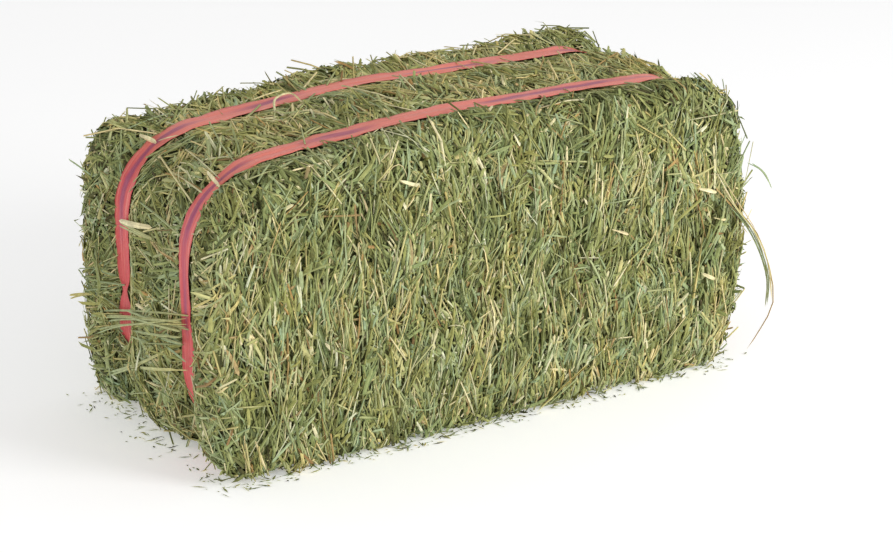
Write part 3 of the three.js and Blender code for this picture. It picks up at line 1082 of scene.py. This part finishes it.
def film_of(name, seed):
    """The ribbon of one strap: points, corners, map places, and where each point lies on it."""
    route, out, along = routes[name]
    share = gathered(name, route, along)
    shift = np.stack([along, np.full_like(along, seed), along * 0], 1)
    half = strap_half * share * (1 + 0.04 * width_field(shift))
    one_edge, other_edge = (half * (1 + 0.07 * edge_field(shift + (0, k, 0))) for k in (1, 2))
    drift = SIDE_DRIFT * width_field(shift + (0, 5, 0))
    across = ACROSS * np.where(ACROSS < 0, one_edge[:, None], other_edge[:, None])
    wave_places = np.stack([np.broadcast_to(along[:, None] * 0.10, across.shape), across * 1.5,
                            np.full(across.shape, seed * 0.1)], -1)
    loose_film = 0.5 + 0.9 * (1 - share)[:, None]
    wave_places = wave_places.reshape(-1, 3)
    relief = CREASE * crease_field(wave_places) + FINE_CREASE * fine_crease(wave_places)
    relief = relief.reshape(across.shape) * loose_film
    curl = EDGE_CURL * ACROSS**4 * width_field(shift * 2 + (0, 9, 0))[:, None]
    off_base = np.clip((route[:, 2:3] - 0.004) / 0.05, 0, 1)
    lift = MM * np.maximum(LEAST_LIFT, (FILM_LIFT + relief + curl) * off_base)
    front = route[:, None] + out[:, None] * (lift + FILM_THICK)[..., None]
    behind = front - out[:, None] * FILM_THICK
    for face in (front, behind):
        face[..., 1] += across + drift[:, None]
    behind = behind[:, ::-1].copy()
    rows = np.concatenate([front, behind], axis=1)
    rows[..., 2] = np.maximum(rows[..., 2], FRONT_OFF_FLOOR)
    backs = rows[:, len(ACROSS):, 2]
    backs[:] = np.maximum(backs - (FRONT_OFF_FLOOR - BACK_OFF_FLOOR), BACK_OFF_FLOOR)
    count, around = rows.shape[:2]
    loop = np.concatenate([COLUMN_EDGE + COLUMN_FILL * (ACROSS + 1) / 2, (ACROSS[::-1] + 1) / 2])
    corners, sheet = quads_to_triangles(ring_quads(count, around), film_sheet(count, loop))
    place_on = np.stack([np.repeat(along, around),
                         np.tile(np.concatenate([ACROSS, ACROSS[::-1]]), count)], 1)
    return rows.reshape(-1, 3), corners, sheet, place_on


print("gathers on each strap:", [len(GATHERS[name]) for name in STRAP_NAMES])

# %% [markdown]
# ## The knot
# The baler ties the two ends of each strap into one knot, with two short tails. Film is bunched
# round where it is knotted, so the knot is a fat cord that runs over and under itself, and the
# tails open out again. Both are swept: an oval section is carried along a curve.

# %% Sweep an oval along a curve
OVAL = np.linspace(0, 2 * math.pi, 10, endpoint=False)


def sweep(line, wide, thick, corner):
    """A closed tube along a line of points, with its map in one small patch of the sheet."""
    forward = unit(np.gradient(line, axis=0))
    side = unit(np.cross(forward, (1.0, 0.0, 0.0)) + 1e-6)
    out = np.cross(side, forward)
    oval = (side[:, None] * (wide[:, None] * np.cos(OVAL))[..., None]
            + out[:, None] * (thick[:, None] * np.sin(OVAL))[..., None])
    rows = line[:, None] + oval / 2
    count, around = rows.shape[:2]
    quads = ring_quads(count, around)
    ends = [[0, k + 1, k] for k in range(1, around - 1)]
    last = (count - 1) * around
    ends += [[last, last + k, last + k + 1] for k in range(1, around - 1)]
    loop = 0.5 + 0.5 * np.cos(OVAL)
    u, v = np.meshgrid(loop, np.linspace(0, 1, count))
    at = np.stack([corner[0] + 0.08 * u, corner[1] + 0.2 * v], -1).reshape(-1, 2)
    corners, sheet = quads_to_triangles(quads, at[quads])
    ends = np.array(ends)
    sheet = np.concatenate([sheet, at[ends] + np.array([[0, 0], [0.01, 0], [0, 0.01]])])
    run = np.linspace(0, 0.1, count)
    place_on = np.stack([np.repeat(run, around), np.tile(np.cos(OVAL), count)], 1)
    return rows.reshape(-1, 3), np.concatenate([corners, ends]), sheet, place_on


print("points round a knot's cord:", len(OVAL))

# %% [markdown]
# The knot itself follows a trefoil, the simplest closed curve that can't be undone: two waves in
# one plane, and a third, three times as fast, that takes it over and under. The tails leave it
# downwards, and widen as the film opens out.

# %% A knot with two tails
TAIL_LENGTHS = (58, 44)


def knot_of(name, source):
    """The parts of one knot: a loop of bunched film and two tails."""
    route, _, _ = routes[name]
    centre = route[0] + (3.5 * MM, 0, 0)
    turn = np.linspace(0, 2 * math.pi, 49)
    loop = np.stack([2.4 * np.sin(3 * turn), 4.6 * (np.sin(turn) + 1.6 * np.sin(2 * turn)),
                     4.6 * (np.cos(turn) - 1.6 * np.cos(2 * turn))], 1) * MM
    size = np.full(len(turn), 7.5 * MM)
    made = [sweep(centre + loop, size, size * 0.6, (0.90, 0.02))]
    for number, (sideways, down) in enumerate(zip((1, -1), TAIL_LENGTHS)):
        reach = np.linspace(0, 1, 16)
        tail = np.stack([7 * np.sin(reach * 2.6) + 2, sideways * (6 + 16 * reach**1.4),
                         8 - down * reach], 1) * MM
        tail[:, 1] += 1.5 * MM * np.sin(reach * 9 + source.uniform(0, 6))
        open_out = (6 + 11 * reach**0.8) * MM * (1 - 0.5 * np.maximum(reach - 0.85, 0) / 0.15)
        flat = (4.2 - 3.2 * reach**0.7) * MM
        made.append(sweep(centre + tail, open_out, flat, (0.90, 0.26 + 0.24 * number)))
    return made


print("tails of a knot:", TAIL_LENGTHS, "mm")

# %% [markdown]
# ## The colour of the film
# The film is red, a little pink where it is stretched thin, and finely streaked along its length
# where it has begun to split into fibres. A purple tracer lies along its middle and shows in some
# stretches. Its top is mixed to a lighter coral pink, a painted sheen where the sky lights it. The
# pattern is read from values stored on the mesh: how far along the strap a point lies, how far
# across, and how much painted sheen it gets.

# %% Film material
CRIMSON, RED, PINK = (0.54, 0.048, 0.062, 1), (0.77, 0.120, 0.120, 1), (0.85, 0.270, 0.220, 1)
SCUFFED, SHEEN_CORAL, PURPLE = (0.86, 0.52, 0.46, 1), (1.0, 0.34, 0.23, 1), (0.29, 0.050, 0.145, 1)
film, nodes, links = new_material("strap_film")
shader = nodes["Principled BSDF"]
along = add_node("ShaderNodeAttribute", attribute_name="strap_along").outputs["Fac"]
across = add_node("ShaderNodeAttribute", attribute_name="strap_across").outputs["Fac"]
# the third value is how much painted sheen a point gets, more towards the top
painted_sheen = add_node("ShaderNodeAttribute", attribute_name="strap_painted_sheen").outputs["Fac"]
on_film = add_node("ShaderNodeCombineXYZ")
links.new(along, on_film.inputs["X"])
links.new(across, on_film.inputs["Y"])
on_film = on_film.outputs["Vector"]


def maths(operation, first, second):
    made = add_node("ShaderNodeMath", operation=operation)
    fill_socket(made.inputs[0], first)
    fill_socket(made.inputs[1], second)
    return made.outputs["Value"]


fibres = noise_on(on_film, (9.0, 26.0, 1.0), 4.0)
creases = noise_on(on_film, (5.0, 5.0, 1.0), 2.0)
wander = remap(noise_on(on_film, (4.0, 0.0, 1.0), 2.0), 0.25, 0.75, -0.45, 0.45)
from_tracer = maths("ABSOLUTE", maths("SUBTRACT", across, wander), 0.0)
tracer = remap(from_tracer, 0.16, 0.42, 1.0, 0.0)
showing = remap(noise_on(on_film, (3.4, 0.0, 7.0), 1.0), 0.46, 0.54, 0.0, 0.95)
broken = remap(fibres, 0.35, 0.6, 0.6, 1.0)
tracer = maths("MULTIPLY", maths("MULTIPLY", tracer, showing), broken)
scuffs = noise_on(on_film, (14.0, 60.0, 3.0), 2.0)
red = mixed("MIX", remap(fibres, 0.32, 0.7, 0.0, 1.0), CRIMSON, RED)
pink = mixed("MIX", remap(creases, 0.50, 0.68, 0.0, 0.75), red, PINK)
pale = mixed("MIX", remap(scuffs, 0.66, 0.74, 0.0, 0.5), pink, SCUFFED)
# Towards the top of the strap the red is mixed with coral: a painted sheen where the sky lights it.
sheened = mixed("MIX", remap(painted_sheen, 0.0, 1.0, 0.0, 0.5), pale, SHEEN_CORAL)
links.new(mixed("MIX", tracer, sheened, PURPLE), shader.inputs["Base Color"])
links.new(remap(fibres, 0.3, 0.7, 0.32, 0.52), shader.inputs["Roughness"])
shader.inputs["Specular IOR Level"].default_value = 0.5
lines = add_node("ShaderNodeBump", Strength=0.55, Distance=0.7 * MM)
links.new(fibres, lines.inputs["Height"])
links.new(lines.outputs["Normal"], shader.inputs["Normal"])
print("film material nodes", len(nodes))

# %% [markdown]
# ## The finished straps
# One strap is its film and its knot in one mesh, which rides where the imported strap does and
# stands for it. The three values that the material reads are stored on its points.

# %% Put the straps together
def store(mesh, name, values):
    layer = mesh.attributes.new(name, "FLOAT", "POINT")
    layer.data.foreach_set("value", values.astype(np.float32))


# The film's painted sheen grows with height, so that the top of each strap is painted lighter.
SHEEN_FROM, SHEEN_RISE = 0.38, 0.07
for number, name in enumerate(STRAP_NAMES):
    made = [film_of(name, number + 1), *knot_of(name, np.random.default_rng(50 + number))]
    points, corners, sheet, smooth = joined([(*part[:3], True) for part in made])
    mesh = mesh_from(name + "_film", points, corners, sheet, smooth)
    place_on = np.concatenate([part[3] for part in made])
    store(mesh, "strap_along", place_on[:, 0] + 10 * number)
    store(mesh, "strap_across", place_on[:, 1])
    store(mesh, "strap_painted_sheen", np.clip((points[:, 2] - SHEEN_FROM) / SHEEN_RISE, 0, 1))
    mesh.materials.append(film)
    piece = new_object(name + "_film", mesh)
    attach(piece, "root")
    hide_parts(name)
    print(piece.name, len(mesh.polygons))
